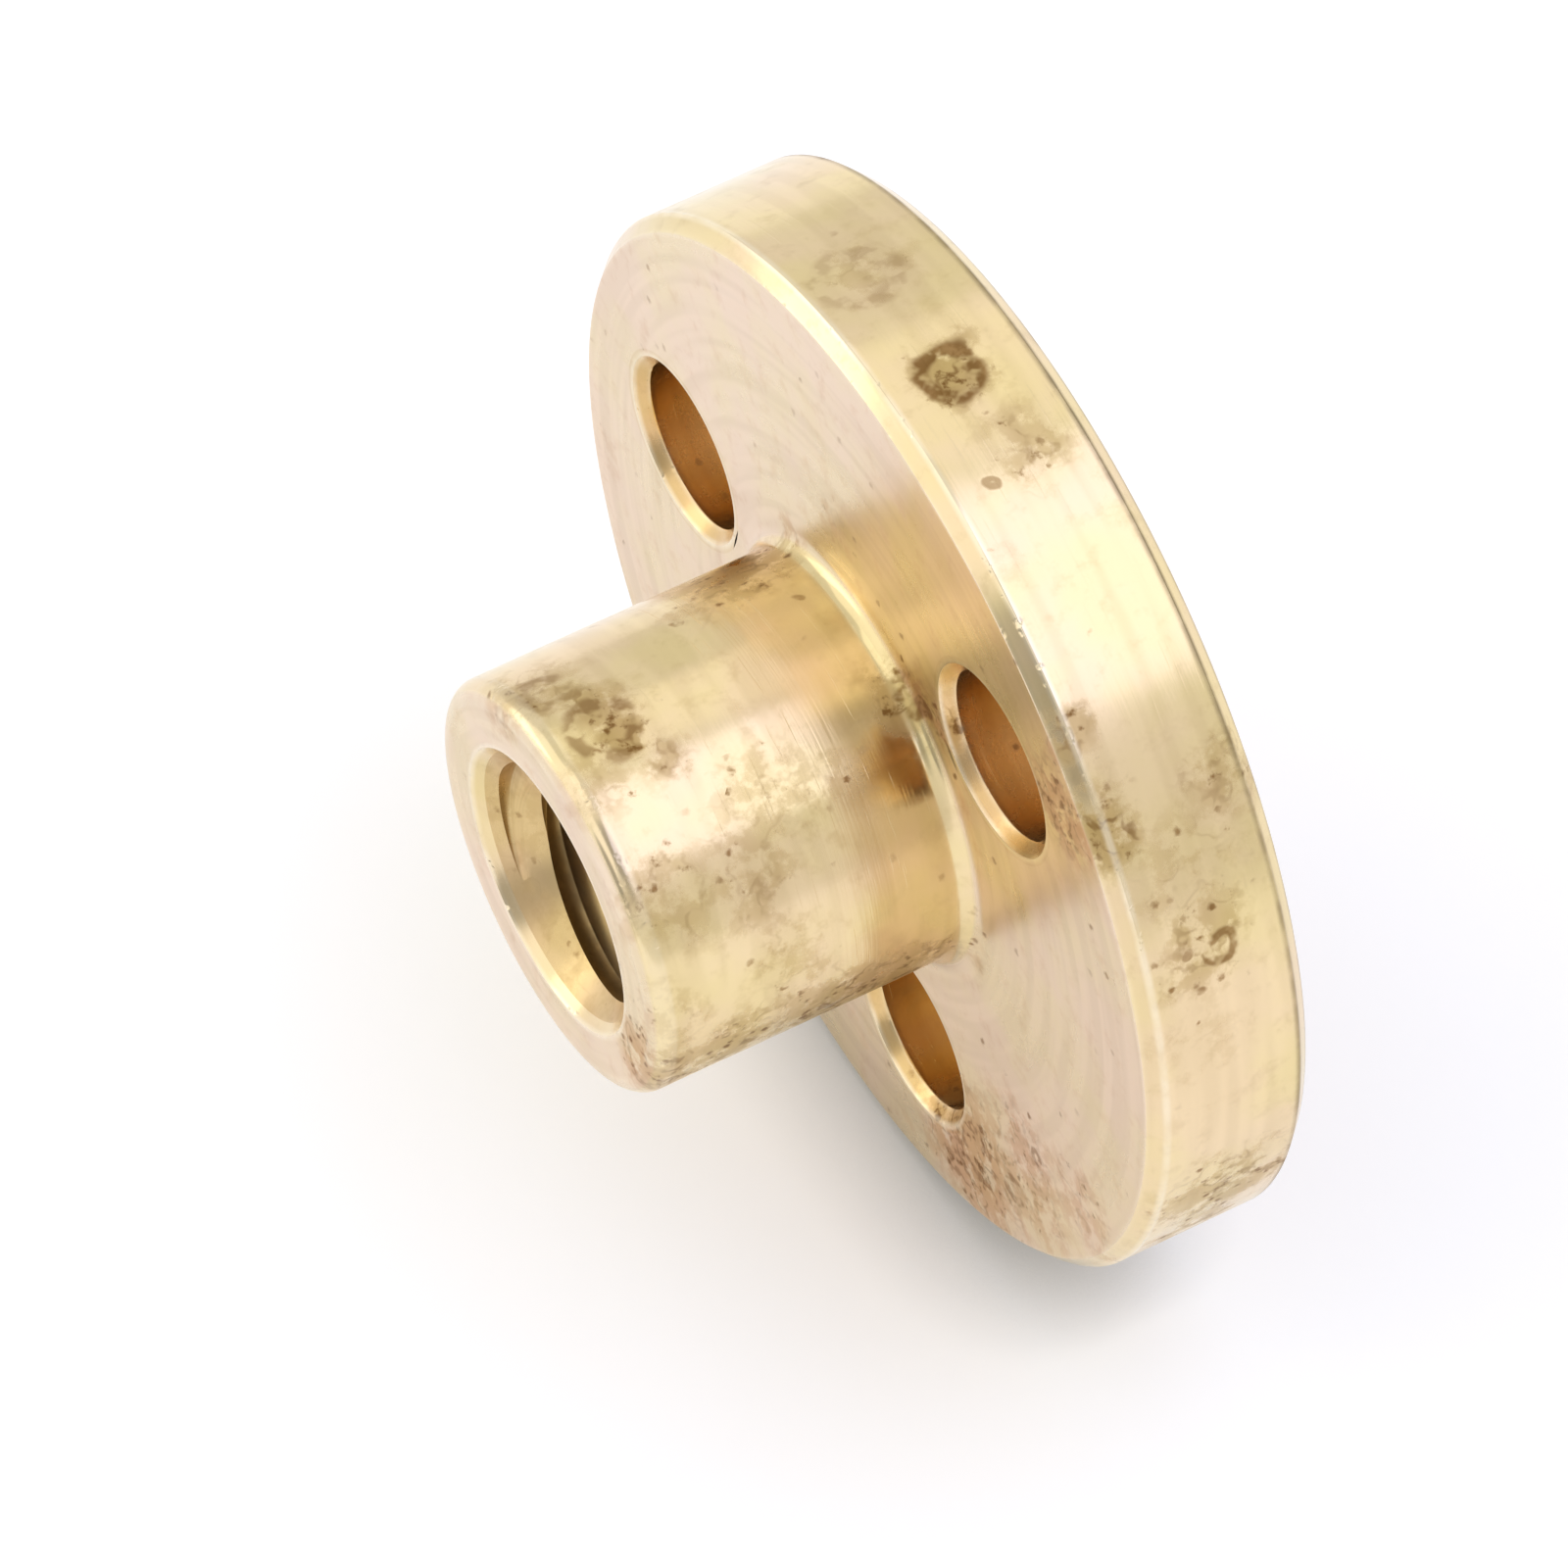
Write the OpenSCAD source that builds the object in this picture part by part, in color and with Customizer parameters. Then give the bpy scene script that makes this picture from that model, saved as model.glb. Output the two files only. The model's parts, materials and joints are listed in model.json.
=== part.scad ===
// Flanged lead screw nut: one turned piece of brass, bored and threaded for a
// two-start lead screw, with holes in its flange for the screws that hold it.
// Millimetres. The lead screw runs along X and the hub's nose points to -X.
// The origin is on the screw's axis, in the flange face that the hub stands on.

/* [Lead screw thread] */
// Outside diameter of the lead screw
screw_d = 5; // [4:0.5:6]
// Distance from one thread ridge to the next
thread_pitch = 1; // [0.8:0.1:1.2]
// How many threads run side by side
thread_starts = 2; // [1:1:4]
// Slope of the thread's flanks away from square to the axis
flank_deg = 15; // [10:1:20]
// Play along the axis between the screw's ridges and the nut's grooves
thread_play = 0.05; // [0.02:0.01:0.1]
// Room between the tips of the screw's ridges and the bottom of the grooves
root_gap = 0.1; // [0.05:0.05:0.2]
// How far each mouth of the bore opens beyond the screw, on the radius
mouth_margin = 0.5; // [0.3:0.05:0.6]

/* [Hub] */
// Diameter of the hub
hub_d = 8.6; // [7.8:0.1:9]
// Length of the hub in front of the flange
hub_l = 6.9; // [3:0.1:15]
// Radius that breaks the edge of the hub's nose
nose_round = 0.4; // [0.1:0.05:0.6]
// Radius of the fillet where the hub meets the flange
root_fillet = 0.4; // [0.1:0.05:0.6]

/* [Flange] */
// Diameter of the flange
flange_d = 22; // [20:0.5:30]
// Thickness of the flange
flange_t = 3.5; // [2:0.1:8]
// Chamfer on both edges of the flange's rim
rim_chamfer = 0.3; // [0.1:0.05:0.6]

/* [Flange holes] */
// Diameter of each hole for a flange screw
hole_d = 3.5; // [2:0.1:3.6]
// Diameter of the circle that the holes stand on
hole_circle_d = 14.2; // [14:0.1:16]
// How many holes the circle has, evenly spaced
hole_count = 3; // [2:1:6]
// Turn of the first hole from straight up, about the screw's axis
first_hole_deg = 43; // [0:1:120]
// Chamfer on both lips of each hole
hole_chamfer = 0.25; // [0.1:0.05:0.35]

/* [Hidden] */
$fn = 96;
brass = [0.80, 0.66, 0.40];
// The crests of the nut's thread stand one pitch inside the screw's diameter
bore_d = screw_d - thread_pitch;
mouth_d = screw_d + 2 * mouth_margin;
mouth_depth = (mouth_d - bore_d) / 2;
body_l = hub_l + flange_t;
// One turn of a thread advances by its lead
lead = thread_starts * thread_pitch;
// The screw's ridges and gaps are equally wide at this radius
pitch_r = screw_d / 2 - thread_pitch / 4;
// Rings of points in each turn of a groove
turn_steps = 24;
// Cutters run this far past the faces that they break through
overcut = 0.1;

// What a radius takes off a square corner that stands at the origin
module corner_arc(radius) {
    difference() {
        square(radius);
        translate([radius, radius])
            circle(r = radius);
    }
}

// Cutter for a 45 degree chamfer on a square corner that stands at the origin
module corner_cut(size) {
    polygon([
        [-overcut, -overcut],
        [size + overcut, -overcut],
        [-overcut, size + overcut]
    ]);
}

// Half of the outside, as turned: the radius runs along x, the axis along y
module outer_outline() {
    difference() {
        translate([0, -hub_l])
            square([hub_d / 2, body_l]);
        translate([hub_d / 2, -hub_l])
            mirror([1, 0])
                corner_arc(nose_round);
    }
    difference() {
        square([flange_d / 2, flange_t]);
        translate([flange_d / 2, 0])
            mirror([1, 0])
                corner_cut(rim_chamfer);
        translate([flange_d / 2, flange_t])
            rotate(180)
                corner_cut(rim_chamfer);
    }
    translate([hub_d / 2, 0])
        mirror([0, 1])
            corner_arc(root_fillet);
}

// Half of the bore before it is threaded, with its two countersunk mouths
module bore_outline() {
    translate([0, -hub_l - overcut])
        square([bore_d / 2, body_l + 2 * overcut]);
    translate([bore_d / 2, -hub_l])
        corner_cut(mouth_depth);
    translate([bore_d / 2, flange_t])
        mirror([0, 1])
            corner_cut(mouth_depth);
}

// Half the width, along the axis, of the nut's groove at this radius
function groove_half(radius) =
    (thread_pitch / 2 + thread_play) / 2 - (radius - pitch_r) * tan(flank_deg);

// One start's groove: a trapezoid swept along a helix, from half a turn
// outside the nose to half a turn outside the back face
module thread_groove() {
    inner = bore_d / 2 - overcut;
    outer = screw_d / 2 + root_gap;
    section = [
        [inner, -groove_half(inner)],
        [outer, -groove_half(outer)],
        [outer, groove_half(outer)],
        [inner, groove_half(inner)]
    ];
    last_ring = ceil((body_l / lead + 1) * turn_steps);
    points = [
        for (ring = [0:last_ring], corner = section)
            let (
                angle = ring * 360 / turn_steps,
                along = ring * lead / turn_steps - hub_l - lead / 2
            )
            [corner.x * cos(angle), corner.x * sin(angle), corner.y + along]
    ];
    sides = [
        for (ring = [0:last_ring - 1], side = [0:3])
            let (near = 4 * ring + side, next = 4 * ring + (side + 1) % 4)
            each [[near, next, next + 4], [near, next + 4, near + 4]]
    ];
    end_cap = [for (corner = [0:3]) 4 * last_ring + corner];
    polyhedron(points, concat(sides, [[3, 2, 1, 0], end_cap]));
}

// One hole through the flange, with both its lips chamfered
module flange_hole() {
    rotate([0, 90, 0])
        rotate_extrude() {
            translate([0, -overcut])
                square([hole_d / 2, flange_t + 2 * overcut]);
            translate([hole_d / 2, 0])
                corner_cut(hole_chamfer);
            translate([hole_d / 2, flange_t])
                mirror([0, 1])
                    corner_cut(hole_chamfer);
        }
}

module nut() {
    color(brass)
        difference() {
            rotate([0, 90, 0])
                rotate_extrude()
                    difference() {
                        outer_outline();
                        bore_outline();
                    }
            for (start = [0:thread_starts - 1])
                rotate([0, 90, 0])
                    rotate(start * 360 / thread_starts)
                        thread_groove();
            for (hole = [0:hole_count - 1])
                rotate([first_hole_deg + hole * 360 / hole_count, 0, 0])
                    translate([0, 0, hole_circle_d / 2])
                        flange_hole();
        }
}

nut();
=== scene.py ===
# %% [markdown]
# # A flanged lead screw nut, turned from brass
#
# The nut starts as one bar of brass in a lathe. Its hub and flange are turned,
# its bore is drilled and tapped for the lead screw, and three holes go through
# the flange. This script dresses the solid part that other tools have built: the
# sizes come from that solid, and the fine surfaces are made here.

# %% Load the solid part and note its box
import json
import math

import bmesh
import bpy
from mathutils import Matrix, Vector


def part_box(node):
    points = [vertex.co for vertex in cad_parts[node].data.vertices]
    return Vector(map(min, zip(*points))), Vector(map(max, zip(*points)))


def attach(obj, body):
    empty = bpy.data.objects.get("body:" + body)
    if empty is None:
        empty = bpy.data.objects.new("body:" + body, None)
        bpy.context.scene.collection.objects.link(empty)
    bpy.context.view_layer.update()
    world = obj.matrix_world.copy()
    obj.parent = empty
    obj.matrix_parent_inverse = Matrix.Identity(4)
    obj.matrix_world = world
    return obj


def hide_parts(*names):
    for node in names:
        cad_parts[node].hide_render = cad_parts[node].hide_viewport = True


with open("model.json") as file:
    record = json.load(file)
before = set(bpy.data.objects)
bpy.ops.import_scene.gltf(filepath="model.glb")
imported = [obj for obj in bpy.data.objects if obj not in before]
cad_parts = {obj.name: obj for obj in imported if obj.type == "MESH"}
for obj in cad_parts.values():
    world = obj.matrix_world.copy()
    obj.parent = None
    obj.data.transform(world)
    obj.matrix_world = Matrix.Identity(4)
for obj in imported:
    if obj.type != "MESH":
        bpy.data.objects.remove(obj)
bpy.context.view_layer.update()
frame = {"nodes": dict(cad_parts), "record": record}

# %% [markdown]
# ## Sizes
#
# A turned part needs few numbers: radii from its axis, and stations along it. The
# axis is X and the flange's front face is at x = 0. The radii are read from the
# part's own mounts, and the stations from the solid's box, so this script follows
# if the part changes. Only the small breaks on its edges are chosen here.

# %% Read the sizes from the solid
MM = 0.001
mounts = {mount["name"]: mount for mount in frame["record"]["mounts"]}
low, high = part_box("nut")

nose_x = low.x
back_x = high.x
flange_r = -low.z
hub_r = mounts["hub"]["dims"]["r_mm"] * MM
crest_r = mounts["screw_thread"]["dims"]["r_mm"] * MM
hole_r = mounts["flange_bolts"]["dims"]["hole_r_mm"] * MM
circle_r = mounts["flange_bolts"]["dims"]["pcd_mm"] / 2 * MM
hole_count = mounts["flange_bolts"]["dims"]["count"]
threaded_l = mounts["screw_thread"]["dims"]["length_mm"] * MM

# Each 45 degree mouth is as wide as it is deep
mouth_depth = (back_x - nose_x - threaded_l) / 2
mouth_r = crest_r + mouth_depth

# The straight part of the hub ends where its nose rounding and its root fillet
# begin, and on this nut those two are equal
hub_round = (-nose_x - mounts["hub"]["dims"]["length_mm"] * MM) / 2
rim_chamfer = 0.3 * MM
hole_chamfer = 0.25 * MM
# A turned edge is never quite sharp: this radius is what a file leaves
edge_round = 0.05 * MM
print(f"hub {hub_r / MM:.2f} mm, flange {flange_r / MM:.2f} mm, bore {crest_r / MM:.2f} mm")
print(f"mouth {mouth_r / MM:.2f} mm, nose rounding {hub_round / MM:.2f} mm")

# %% [markdown]
# The mounts give the circle that the holes stand on, but not how far the first is
# turned from straight up. The solid's own points show it. Every point of a hole
# repeats three times round the axis, so its angle times three is the same for all
# three holes, and the mean of those angles is a hole's middle.

# %% Find the turn of the first hole
def turn_of(point):
    """Angle of a point about the screw's axis, from +Z towards -Y."""
    return math.atan2(-point.y, point.z)


on_walls = [
    vertex.co for vertex in frame["nodes"]["nut"].data.vertices
    if abs(math.hypot(vertex.co.y, vertex.co.z) - circle_r) < hole_r
    and hole_chamfer / 2 < vertex.co.x < back_x - hole_chamfer / 2
]
first_hole = math.atan2(
    sum(math.sin(hole_count * turn_of(point)) for point in on_walls),
    sum(math.cos(hole_count * turn_of(point)) for point in on_walls),
) / hole_count % (2 * math.pi / hole_count)
print(f"first hole at {math.degrees(first_hole):.1f} degrees, from {len(on_walls)} points")

# %% [markdown]
# ## Edges that catch the light
#
# On a real turned part every edge is slightly round, and that thin bright line is
# what tells the eye that it is metal. A bevel modifier could round the edges, but
# it struggles where drilled holes meet a flat face. So each outline is written as
# its sharp corners, and one helper replaces every corner by a short arc.
#
# The helper also leaves a number at each point, for wear and painted light. It is above 0, and 1
# at most, on an edge that gets rubbed bright, and there it also paints a highlight. It is below 0,
# and -1 at least, where shade is painted: a dark reflection along the back rim, and darker towards
# the thread's roots. Elsewhere it is 0.
# A point with no wear stands close on each side, so that the effect stays narrow.

# %% Round the corners of an outline
EDGE_BAND = 0.12 * MM


def soften(corners, steps=3, band=EDGE_BAND):
    """Turns corners (x, radius, rounding, wear) into outline points (x, radius, wear)."""
    first, last = corners[0], corners[-1]
    outline = [(first[0], first[1], 0)]
    for before, corner, after in zip(corners, corners[1:], corners[2:]):
        tip = Vector(corner[:2])
        rounding, wear_and_painted_light = corner[2:]
        back = (Vector(before[:2]) - tip).normalized()
        onward = (Vector(after[:2]) - tip).normalized()
        bend = math.pi - back.angle(onward)
        reach = rounding * math.tan(bend / 2)
        start = tip + back * reach
        centre = tip + (back + onward).normalized() * rounding / math.cos(bend / 2)
        if band:
            outline.append((*(tip + back * (reach + band)), 0))
        arc_steps = steps if rounding <= edge_round else 3 * steps
        for step in range(arc_steps + 1):
            turn = bend * step / arc_steps
            point = centre + (start - centre) * math.cos(turn) - back * rounding * math.sin(turn)
            outline.append((*point, wear_and_painted_light))
        if band:
            outline.append((*(tip + onward * (reach + band)), 0))
    outline.append((last[0], last[1], 0))
    return outline


# %% [markdown]
# ## Turning an outline into a surface
#
# A lathe turns the work while the tool follows an outline, and the mesh is made
# the same way: each outline point becomes a ring of points, and neighbouring rings
# are joined by four-sided faces. The rings keep one count all over the part, so
# that surfaces which meet share their points and the part stays closed. The same
# helper drills a hole, with its rings about a centre away from the screw's axis.

# %% Rings and the lathe
TURN_STEPS = 288
DRILL_STEPS = 96
TURNED, DRILLED, THREADED = range(3)

body = bmesh.new()
wear_and_painted_light_layer = body.verts.layers.float.new("wear_and_painted_light")


def add_point(x, radius, turn, wear_and_painted_light, centre=(0, 0)):
    """Adds one point at a turn from +Z towards -Y, about the axis through centre."""
    point = body.verts.new((
        x,
        centre[0] - radius * math.sin(turn),
        centre[1] + radius * math.cos(turn),
    ))
    point[wear_and_painted_light_layer] = wear_and_painted_light
    return point


def join_rings(near, far, finish):
    """Joins two rings of points by a band of four-sided faces."""
    for step in range(len(near)):
        after = (step + 1) % len(near)
        face = body.faces.new((near[step], near[after], far[after], far[step]))
        face.material_index = finish


def lathe(outline, finish=TURNED, steps=TURN_STEPS, centre=(0, 0)):
    """Turns an outline about the axis through centre, and gives its end rings."""
    rings = [
        [add_point(x, radius, 2 * math.pi * step / steps, wear_and_painted_light, centre) for step in range(steps)]
        for x, radius, wear_and_painted_light in outline
    ]
    for near, far in zip(rings, rings[1:]):
        join_rings(near, far, finish)
    return rings[0], rings[-1]


# %% [markdown]
# ## Hub, rim and mouths
#
# The outside is one outline, but the flange's two faces are left out of it, because the drilled
# holes interrupt them. The first outline runs from the flange's face down the fillet, along the
# hub, round its nose and into the bore's mouth. The second goes over the rim, whose front edge is
# rubbed and gets a painted highlight, and whose back edge gets a painted dark reflection, and the
# third is the mouth at the back.

# %% Turn the outside
def sharp(x, radius):
    """An outline's end, which has no rounding."""
    return (x, radius, 0, 0)


ON_FACE = 0.3 * MM
MOUTH_INSET = 0.2 * MM

hub_outline = soften([
    sharp(0, hub_r + hub_round + ON_FACE),
    (0, hub_r, hub_round, 0),
    (nose_x, hub_r, hub_round, 0.5),
    (nose_x, mouth_r, edge_round, 1),
    sharp(nose_x + MOUTH_INSET, mouth_r - MOUTH_INSET),
])
rim_outline = soften([
    sharp(0, flange_r - rim_chamfer - ON_FACE),
    (0, flange_r - rim_chamfer, edge_round, 0.5),
    (rim_chamfer, flange_r, edge_round, 1),
    # Below 0, the back edge's numbers paint a dark reflection along it
    (back_x - rim_chamfer, flange_r, edge_round, -0.9),
    (back_x, flange_r - rim_chamfer, edge_round, -0.7),
    sharp(back_x, flange_r - rim_chamfer - ON_FACE),
])
back_outline = soften([
    sharp(back_x, mouth_r + ON_FACE),
    (back_x, mouth_r, edge_round, 1),
    sharp(back_x - MOUTH_INSET, mouth_r - MOUTH_INSET),
])
front_inner, _ = lathe(hub_outline)
front_outer, back_outer = lathe(rim_outline)
back_inner, _ = lathe(back_outline)
print("outline points:", len(hub_outline), len(rim_outline), len(back_outline))

# %% [markdown]
# ## Three drilled holes
#
# A drill leaves a plain bore, and a countersink then breaks both its lips. The same
# lathe makes them, about each hole's own centre.

# %% Drill and countersink the holes
hole_outline = soften([
    sharp(0, hole_r + hole_chamfer + ON_FACE / 2),
    (0, hole_r + hole_chamfer, edge_round, 1),
    (hole_chamfer, hole_r, edge_round, 0.5),
    (back_x - hole_chamfer, hole_r, edge_round, 0.5),
    (back_x, hole_r + hole_chamfer, edge_round, 1),
    sharp(back_x, hole_r + hole_chamfer + ON_FACE / 2),
])
hole_rings = []
for number in range(hole_count):
    turn = first_hole + 2 * math.pi * number / hole_count
    middle = (-circle_r * math.sin(turn), circle_r * math.cos(turn))
    hole_rings.append(lathe(hole_outline, DRILLED, DRILL_STEPS, middle))
    print(f"hole {number + 1} at y {middle[0] / MM:.2f}, z {middle[1] / MM:.2f} mm")

# %% [markdown]
# ## The flange's two faces
#
# Each face is a flat ring with three round gaps. Blender can fill the space between
# closed loops of edges with triangles, and on a flat face the shape of those
# triangles doesn't show.

# %% Fill the flat faces between their loops
def ring_edges(ring):
    """The edges that join a ring's points, in order."""
    return [body.edges.get((point, ring[i - 1])) or body.edges.new((point, ring[i - 1]))
            for i, point in enumerate(ring)]


def fill_flat(rings):
    """Fills the flat space between closed rings of points, and counts the faces."""
    edges = [edge for ring in rings for edge in ring_edges(ring)]
    made = bmesh.ops.triangle_fill(body, edges=edges, use_beauty=True, use_dissolve=False)
    return sum(isinstance(part, bmesh.types.BMFace) for part in made["geom"])


front_rings = [front_outer, front_inner] + [front for front, _ in hole_rings]
back_rings = [back_outer, back_inner] + [back for _, back in hole_rings]
print("flat faces:", fill_flat(front_rings), fill_flat(back_rings))

# %% [markdown]
# ## The thread
#
# A tap cuts two grooves side by side, each a helix that goes forward two pitches a
# turn. A swept groove could be cut out with a boolean, but that leaves thin stray
# faces where it runs out in the countersunk mouths. Another way suits a thread
# whose flanks slope: seen from the axis, every direction and every place along the
# bore has one single depth. So the bore's wall is drawn as columns of points that
# run along it, one for each turn of the lathe, and in each column the groove's
# outline stands a little further on than in the one before.

# %% Outline of one groove
PITCH = 1 * MM
STARTS = 2
FLANK_SLOPE = math.tan(math.radians(15))
PLAY = 0.05 * MM
ROOT_GAP = 0.1 * MM
lead = STARTS * PITCH
screw_r = crest_r + PITCH / 2
root_r = screw_r + ROOT_GAP
thread_round = 0.03 * MM


def groove_half(radius):
    """Half of a groove's width at a radius: half a pitch wide where the screw meets it."""
    return (PITCH / 2 + PLAY) / 2 - (radius - screw_r + PITCH / 4) * FLANK_SLOPE


groove = [Vector(point) for point in soften([
    sharp(-PITCH / 2, crest_r),
    (-groove_half(crest_r), crest_r, thread_round, 0),
    (-groove_half(root_r), root_r, thread_round, 0),
    (groove_half(root_r), root_r, thread_round, 0),
    (groove_half(crest_r), crest_r, thread_round, 0),
    sharp(PITCH / 2, crest_r),
], steps=1, band=0)]
print(f"groove {2 * groove_half(crest_r) / MM:.2f} mm wide, {(root_r - crest_r) / MM:.2f} deep")

# %% [markdown]
# The mouths are cones that swallow the thread's ends. Along a column the wall is whichever is
# further from the axis, the groove's outline or a cone. To keep the line where they meet crisp,
# each straight stretch of outline gets two more points, where it crosses the cones. In a stretch
# that doesn't cross, they rest on its ends and are merged away later. Here the number for wear and
# painted light follows the groove's depth: 0 on the crests and the cones, and -1 at the roots,
# which paints the thread darker towards its roots.

# %% One column of the bore's wall
wall_start = nose_x + MOUTH_INSET
wall_end = back_x - MOUTH_INSET


def nose_cone(x):
    """Radius of the mouth in the hub's nose."""
    return mouth_r - (x - nose_x)


def back_cone(x):
    """Radius of the mouth in the flange's back."""
    return mouth_r - (back_x - x)


def crossing(start, end, cone):
    """Where a straight stretch of outline meets a cone, kept within the stretch."""
    above_start = cone(start.x) - start.y
    above_end = cone(end.x) - end.y
    share = above_start / (above_start - above_end)
    return start.lerp(end, min(max(share, 0), 1))


def bore_column(turn):
    """Points (x, radius, wear) along the bore's wall at one turn about the axis, with painted
    shade towards the roots.
    """
    first_groove = nose_x + lead * (turn - 2 * math.pi) / (2 * math.pi)
    groove_count = math.ceil((back_x - nose_x + lead) / PITCH) + 1
    column = []
    for number in range(groove_count):
        shift = Vector((first_groove + number * PITCH, 0, 0))
        here = [point + shift for point in groove]
        for start, end in zip(here, here[1:]):
            crossings = [crossing(start, end, cone) for cone in (nose_cone, back_cone)]
            column += [start] + sorted(crossings, key=lambda point: point.x)
    wall = []
    for point in column:
        x = min(max(point.x, wall_start), wall_end)
        cone = max(nose_cone(x), back_cone(x))
        radius = max(point.y, cone)
        wear_and_painted_light = -(radius - max(cone, crest_r)) / (root_r - crest_r)
        wall.append((x, radius, wear_and_painted_light))
    return wall


# %% Thread the bore and close the body
SAME_POINT = 0.001 * MM

columns = []
for step in range(TURN_STEPS + 1):
    turn = 2 * math.pi * step / TURN_STEPS
    columns.append([add_point(x, radius, turn, wear_and_painted_light) for x, radius, wear_and_painted_light in bore_column(turn)])
for near, far in zip(columns, columns[1:]):
    for row in range(len(near) - 1):
        face = body.faces.new((near[row], near[row + 1], far[row + 1], far[row]))
        face.material_index = THREADED

bmesh.ops.remove_doubles(body, verts=body.verts, dist=SAME_POINT)
bmesh.ops.recalc_face_normals(body, faces=body.faces)
open_edges = sum(not edge.is_manifold for edge in body.edges)
triangles = sum(len(face.verts) - 2 for face in body.faces)
print(f"open edges {open_edges}, triangles {triangles}")
print(f"volume {body.calc_volume() / MM ** 3:.1f} mm3")

# %% [markdown]
# ## From points to a piece
#
# Shading decides how crisp the part looks. Edges that bend by more than 40 degrees
# stay sharp, the rest are smooth, and a weighted normal modifier lets the large
# faces set the shading, so that the flats stay flat right up to their rounded rims.

# %% Make the piece
SHARP_ANGLE = math.radians(40)

mesh = bpy.data.meshes.new("turned_nut")
body.to_mesh(mesh)
body.free()
mesh.shade_smooth()
mesh.set_sharp_from_angle(angle=SHARP_ANGLE)
nut = bpy.data.objects.new("turned_nut", mesh)
bpy.context.scene.collection.objects.link(nut)
weighted = nut.modifiers.new("flat_faces_lead", "WEIGHTED_NORMAL")
weighted.weight = 100
weighted.keep_sharp = True
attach(nut, "root")
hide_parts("nut")
print("piece size, mm:", [round(side / MM, 2) for side in nut.dimensions])

# %% [markdown]
# ## Shader helpers
#
# A material is a tree of nodes. These short helpers keep the trees readable: each
# one adds a node, fills or links its inputs, and gives back what comes out of it.

# %% Helpers for shader trees
def node(tree, kind, inputs=None, **settings):
    """Adds a shader node, sets its options, and sets or links its inputs."""
    made = tree.nodes.new(kind)
    for name, value in settings.items():
        setattr(made, name, value)
    for name, value in (inputs or {}).items():
        if isinstance(value, bpy.types.NodeSocket):
            tree.links.new(value, made.inputs[name])
        else:
            made.inputs[name].default_value = value
    return made


def calc(tree, operation, first, second=0.0):
    """One sum or comparison on values."""
    return node(tree, "ShaderNodeMath", {0: first, 1: second}, operation=operation).outputs[0]


def fade(tree, value, starts, ends, before=0.0, after=1.0):
    """A soft step, from before to after, as a value goes from starts to ends."""
    inputs = {
        "Value": value,
        "From Min": starts,
        "From Max": ends,
        "To Min": before,
        "To Max": after,
    }
    made = node(tree, "ShaderNodeMapRange", inputs, interpolation_type="SMOOTHSTEP")
    return made.outputs["Result"]


# A mix node has sockets for values and for colours, told apart by their numbers
MIX_SHARE = 0
MIX_VALUES, MIXED_VALUE = (2, 3), 0
MIX_COLOURS, MIXED_COLOUR = (6, 7), 2


def blend(tree, share, first, second):
    """Mixes two values by a share."""
    inputs = {MIX_SHARE: share, MIX_VALUES[0]: first, MIX_VALUES[1]: second}
    return node(tree, "ShaderNodeMix", inputs).outputs[MIXED_VALUE]


def tint(tree, share, first, second, how="MIX"):
    """Mixes two colours by a share."""
    inputs = {MIX_SHARE: share, MIX_COLOURS[0]: first, MIX_COLOURS[1]: second}
    made = node(tree, "ShaderNodeMix", inputs, data_type="RGBA", blend_type=how, clamp_factor=True)
    return made.outputs[MIXED_COLOUR]


def group(name, inputs, outputs):
    """Starts a shader node group, and gives its tree, its inputs and its output node."""
    tree = bpy.data.node_groups.new(name, "ShaderNodeTree")
    for label, kind, value in inputs:
        tree.interface.new_socket(label, in_out="INPUT", socket_type=kind).default_value = value
    for label, kind in outputs:
        tree.interface.new_socket(label, in_out="OUTPUT", socket_type=kind)
    return tree, tree.nodes.new("NodeGroupInput").outputs, tree.nodes.new("NodeGroupOutput").inputs


# %% [markdown]
# ## Tool marks
#
# Up close, a turned face carries fine rings, where the tool went round and moved on
# a little each turn. On a face square to the axis the rings differ in radius, and on
# a cylinder they follow each other along the axis. A rings texture can't do both, so
# this node group picks the right measure from the way the surface faces, and feeds
# it to a noise that is squeezed across the rings and stretched along them. It also
# says which parts are flat faces, because those were cut and handled differently.
# The brass uses the group twice: fine rings shape its surface, and broad ones, too
# shallow to feel, tint it.

# %% Helpers for places and noises
def place_in_mm(tree):
    """Where a point of the surface is, in millimetres."""
    here = node(tree, "ShaderNodeTexCoord").outputs["Object"]
    scaled = node(tree, "ShaderNodeVectorMath", {0: here, "Scale": 1 / MM}, operation="SCALE")
    return scaled.outputs[0]


def noise(tree, place, scale, detail=3.0, roughness=0.55):
    """A soft cloudy value over the surface, at a scale in features a millimetre."""
    inputs = {"Vector": place, "Scale": scale, "Detail": detail, "Roughness": roughness}
    return node(tree, "ShaderNodeTexNoise", inputs).outputs[0]


# %% A node group for tool marks
# How often a ring changes along its way round
BREAK_UP = 1.6
# A face counts as flat when its normal points this much along the axis
FACING_FADE = (0.75, 0.9)

marks, given, result = group(
    "tool_marks",
    [("Marks a millimetre", "NodeSocketFloat", 16.0), ("On faces", "NodeSocketFloat", 5.0)],
    [("Height", "NodeSocketFloat"), ("Flat", "NodeSocketFloat")],
)
place = place_in_mm(marks)
x, y, z = node(marks, "ShaderNodeSeparateXYZ", {0: place}).outputs
across = node(marks, "ShaderNodeCombineXYZ", {"Y": y, "Z": z}).outputs[0]
radius = node(marks, "ShaderNodeVectorMath", {0: across}, operation="LENGTH").outputs["Value"]
facing = node(marks, "ShaderNodeTexCoord").outputs["Normal"]
square_on = node(marks, "ShaderNodeSeparateXYZ", {0: facing}).outputs["X"]
flat = fade(marks, calc(marks, "ABSOLUTE", square_on), *FACING_FADE)
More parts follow.
